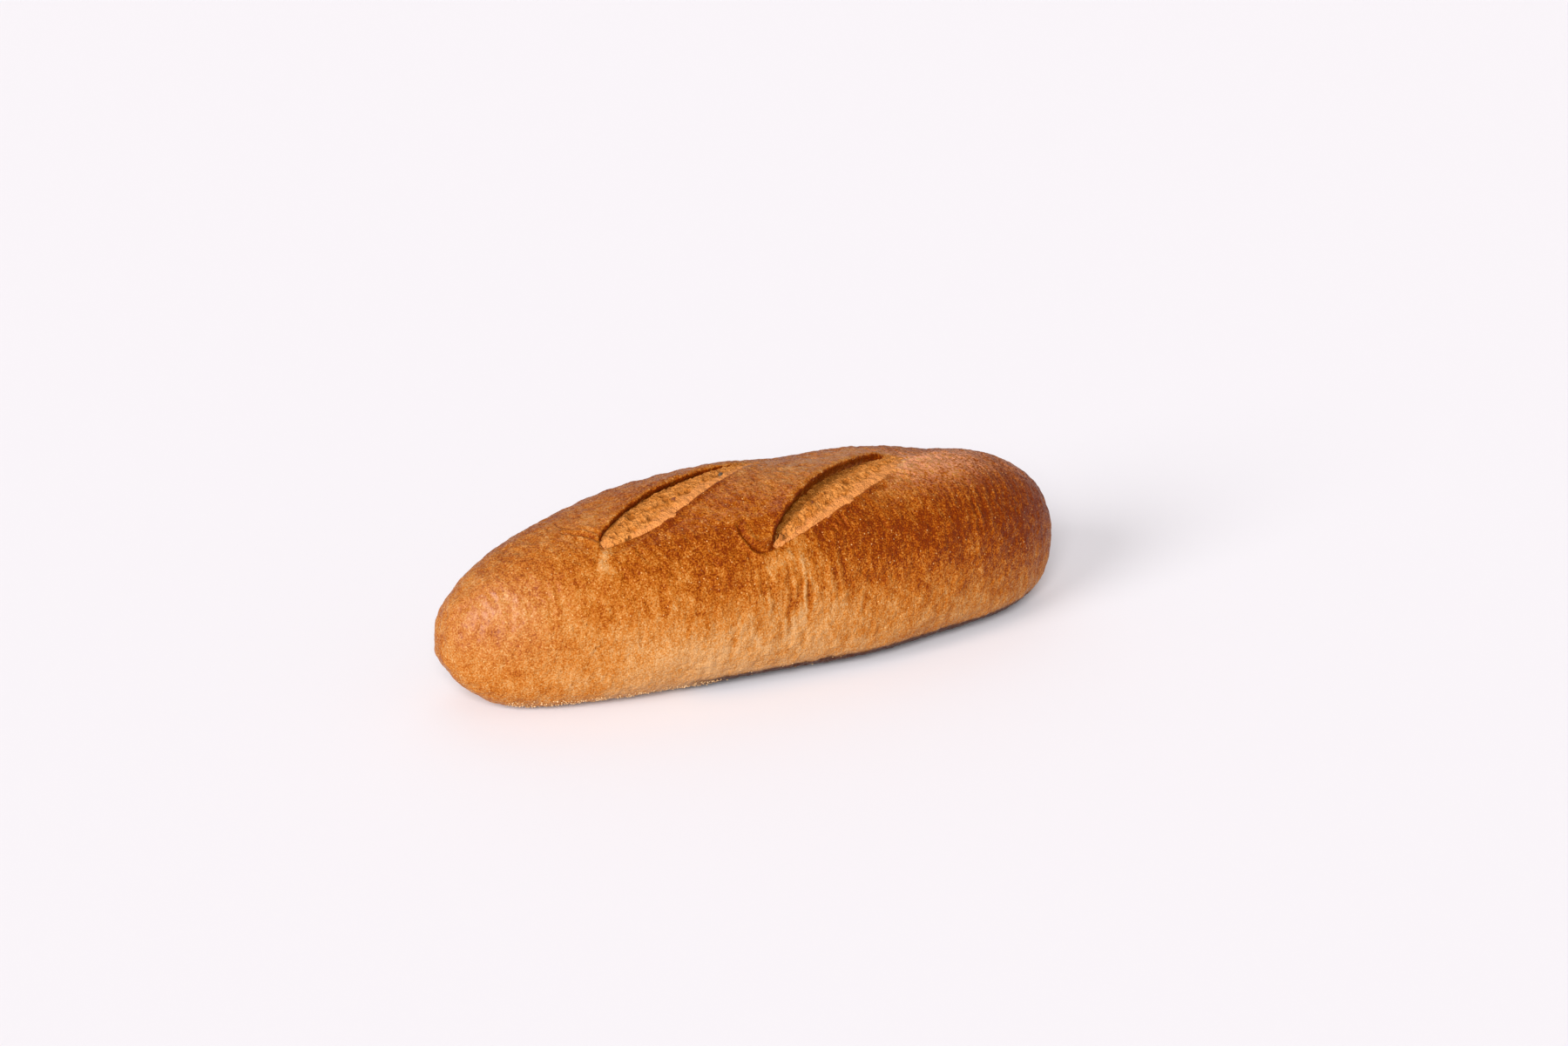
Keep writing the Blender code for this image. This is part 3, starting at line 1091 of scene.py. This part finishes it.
def crust_finish():
    """Baked crust."""
    finish = Finish("baked_crust", Specular_IOR_Level=0.09, Coat_Roughness=0.42)
    bake = finish.attribute("bake")
    stretch = finish.attribute("stretch")
    mottle = finish.grain(3.6 * MM, 3) - 0.5
    blotch = finish.grain(1.5 * MM, 2, (1, 0.6, 0.6), seed=2) - 0.5
    grit = finish.grain(0.45 * MM, 1, seed=3) - 0.5
    streaks = finish.grain(1.2 * MM, 2, (1, 0.2, 0.2), seed=5) - 0.5
    noise = mottle * MOTTLE + blotch * BLOTCH + grit * GRIT
    browning = bake * BAKE_GAIN + BAKE_START + noise * (0.48 + bake * 0.75)
    browning = browning + streaks * stretch * STREAKS
    color = finish.node("ValToRGB", {"stops": CRUST_RAMP}, {"Fac": browning})
    pebbles = finish.step(finish.grain(0.8 * MM, 2, seed=12), 0.40, 0.60)
    # flour dust and painted sheen, mixed in as a pale pinkish colour
    dust = finish.attribute("dust") * pebbles * 1.6
    color = finish.mix(dust, color, DUST_AND_SHEEN)
    # painted contact shade: the heel band along the foot
    color = finish.mix(finish.attribute("heel"), color, HEEL_SHADE_BROWN)
    # pale specks: flour, and painted glints on the crust
    flour_and_glints = finish.specks(1.2 * MM, 0.28 * MM)
    pits = finish.specks(2.2 * MM, 0.34 * MM, seed=9)
    color = finish.mix(flour_and_glints * 0.95, color, FLOUR_AND_GLINT)
    color = finish.mix(pits * 0.7, color, PIT)
    height = finish.grain(0.45 * MM, 1, seed=7) * 0.6 + finish.grain(1.1 * MM, 2, seed=8)
    height = height + flour_and_glints * 0.25 - pits * 0.3
    bump = {"Height": height, "Distance": SKIN_BUMP}
    return finish.end(
        Base_Color=color,
        Roughness=0.40 + grit * 0.6,
        Coat_Weight=finish.attribute("gloss") * (0.9 + blotch * 2.0),
        Normal=finish.node("Bump", inputs=bump),
    )


crust.data.materials.clear()
crust.data.materials.append(crust_finish())

# %% [markdown]
# ## The crumb's finish
#
# Crumb is tan and dry. Towards the near edge, where a thin skin closed over it, it is
# smoother. Its grains are pale, its pores get painted shade, and so does the crumb where
# it lies deep under the lip.

# %% Crumb finish
CRUMB_TAN = (0.440, 0.140, 0.020)
CRUMB_PALE = (0.680, 0.275, 0.068)
CRUMB_SKIN = (0.575, 0.212, 0.060)
CRUMB_LIP_SHADE = (0.230, 0.075, 0.008)
# the brown of dark specks, and of painted shade in the pores
SPECK_AND_PORE_SHADE_BROWN = (0.200, 0.055, 0.006)
CRUMB_BUMP = 0.6 * MM


def crumb_finish():
    """Torn, toasted crumb."""
    finish = Finish("torn_crumb", Specular_IOR_Level=0.06)
    grit = finish.grain(0.42 * MM, 1)
    patches = finish.grain(2.4 * MM, 2, seed=2)
    color = finish.mix(finish.step(patches, 0.36, 0.64) * 0.75, CRUMB_TAN, CRUMB_PALE)
    # painted shade deep under the lip
    color = finish.mix(finish.attribute("deep") * 0.9, color, CRUMB_LIP_SHADE)
    color = finish.mix(finish.step(grit, 0.52, 0.72) * 0.60, color, CRUMB_PALE)
    color = finish.mix(finish.step(grit, 0.48, 0.28) * 0.60, color, SPECK_AND_PORE_SHADE_BROWN)
    # painted shade in the pores, by their depth
    color = finish.mix(finish.attribute("pore") * 0.75, color, SPECK_AND_PORE_SHADE_BROWN)
    skin = finish.mix(finish.step(grit, 0.35, 0.70) * 0.5, CRUMB_SKIN, CRUMB_PALE)
    color = finish.mix(finish.attribute("torn"), skin, color)
    height = grit * 0.8 + finish.grain(0.9 * MM, 2, seed=4) * 0.6
    bump = {"Height": height, "Distance": CRUMB_BUMP}
    return finish.end(
        Base_Color=color,
        Roughness=0.70 + grit * 0.2,
        Normal=finish.node("Bump", inputs=bump),
    )


crumb_material = crumb_finish()
for crumb in crumbs:
    crumb.data.materials.append(crumb_material)

# %% [markdown]
# ## Finishes of the small things
#
# Semolina is pale and a little glassy, the seed is a dull grey brown with fine lines along
# it, and bran is reddish brown. Each gets a touch of noise, because no two grains are
# alike.

# %% Small finishes


def speckled(name, dark, light, size, stretch=(1, 1, 1), **shader_values):
    """A finish of two colours in noise, with a fine bump."""
    finish = Finish(name, **shader_values)
    noise = finish.grain(size, 2, stretch)
    color = finish.mix(finish.step(noise, 0.35, 0.65), dark, light)
    bump = finish.node("Bump", inputs={"Height": noise, "Distance": 0.05 * MM})
    return finish.end(Base_Color=color, Normal=bump)


semolina.data.materials.append(
    speckled("semolina_grain", (0.46, 0.24, 0.09), (0.70, 0.48, 0.26), 0.9 * MM,
             Roughness=0.45)
)
seed.data.materials.append(
    speckled("dark_seed", (0.050, 0.030, 0.017), (0.140, 0.090, 0.055), 0.3 * MM,
             (0.25, 1, 1), Roughness=0.6, Specular_IOR_Level=0.2)
)
bran.data.materials.append(
    speckled("bran_flake", (0.120, 0.028, 0.008), (0.260, 0.075, 0.020), 0.4 * MM,
             Roughness=0.6)
)

# %% [markdown]
# ## Light, floor and camera
#
# The roll lies on a plain pale floor. Two wide soft windows light it from the front left,
# one beside the other and rather low, so that the shadow falls short and soft behind the
# blunt end. The world and a weak light from behind fill in the rest. Each light is a sun
# with a very wide disc: it is as soft as a large box, and it lights the floor evenly.
# Near its horizon the world is paler, so that a low view has a pale backdrop too. The view
# transform is Standard, so that a colour in the finish is the colour seen.

# %% Floor and lights
FLOOR_TINT = (0.800, 0.779, 0.812)
WORLD_TINT = (1.0, 0.93, 0.91)
FLOOR_SIZE = 12
FLOOR_GAP = 0.05 * MM
LIGHT_LEVEL = 1.19          # light on the floor, where 1 shows a white floor as white
WORLD_SHARE = 0.26
HORIZON_SHARE = 0.72
HORIZON_BAND = (0.22, 0.05)  # sines of the heights where the world is plain and palest

bpy.ops.object.select_all(action="DESELECT")
bpy.ops.mesh.primitive_plane_add(size=FLOOR_SIZE, location=(0, 0, low.z - FLOOR_GAP))
floor = bpy.context.object
floor.name = "floor"
floor.data.materials.append(Finish("pale_floor", Roughness=0.9, Specular_IOR_Level=0.0,
                                   Base_Color=(*FLOOR_TINT, 1)).material)

world = bpy.data.worlds.new("studio")
world.use_nodes = True
sky = Sky(world)
heading = sky.node("TexCoord", output="Generated")
rise = sky.node("SeparateXYZ", inputs={"Vector": heading}, output="Z")
glow = sky.step(rise, *HORIZON_BAND) * (HORIZON_SHARE - WORLD_SHARE)
sky.shader.inputs["Color"].default_value = (*WORLD_TINT, 1)
sky.feed(sky.shader.inputs["Strength"], (glow + WORLD_SHARE) * LIGHT_LEVEL)
bpy.context.scene.world = world
bpy.context.scene.view_settings.view_transform = "Standard"


def window(name, turn, height, width, share, mirrored=True):
    """A wide, distant light; share is its part of the light on the floor."""
    lamp = bpy.data.lights.new(name, "SUN")
    lamp.angle = math.radians(width)
    lamp.energy = share * LIGHT_LEVEL * math.pi / math.sin(math.radians(height))
    thing = bpy.data.objects.new(name, lamp)
    bpy.context.collection.objects.link(thing)
    turn, height = math.radians(turn), math.radians(height)
    flat = math.cos(height)
    towards = Vector((flat * math.cos(turn), flat * math.sin(turn), math.sin(height)))
    thing.rotation_euler = (-towards).to_track_quat("-Z", "Y").to_euler()
    thing.visible_glossy = mirrored


window("left_window", turn=200, height=24, width=28, share=0.25)
window("front_window", turn=240, height=30, width=24, share=0.44, mirrored=False)
window("back_window", turn=70, height=42, width=50, share=0.05, mirrored=False)

# %% [markdown]
# The camera looks down on the roll from a little to the left of its middle, through a long
# lens. Its place is worked out from two angles, a distance and the point it looks at.

# %% Camera
VIEW_TURN = math.radians(27.16)
VIEW_DROP = math.radians(22.0)
DISTANCE = 0.8629
AIM = Vector((13.26, 6.55, 30.21)) * MM

camera = bpy.data.objects.new("camera", bpy.data.cameras.new("camera"))
bpy.context.collection.objects.link(camera)
camera.data.lens = 72
camera.data.sensor_width = 36
gaze = Vector((
    math.sin(VIEW_TURN) * math.cos(VIEW_DROP),
    math.cos(VIEW_TURN) * math.cos(VIEW_DROP),
    -math.sin(VIEW_DROP),
))
camera.location = AIM - gaze * DISTANCE
camera.rotation_euler = gaze.to_track_quat("-Z", "Y").to_euler()
bpy.context.scene.camera = camera
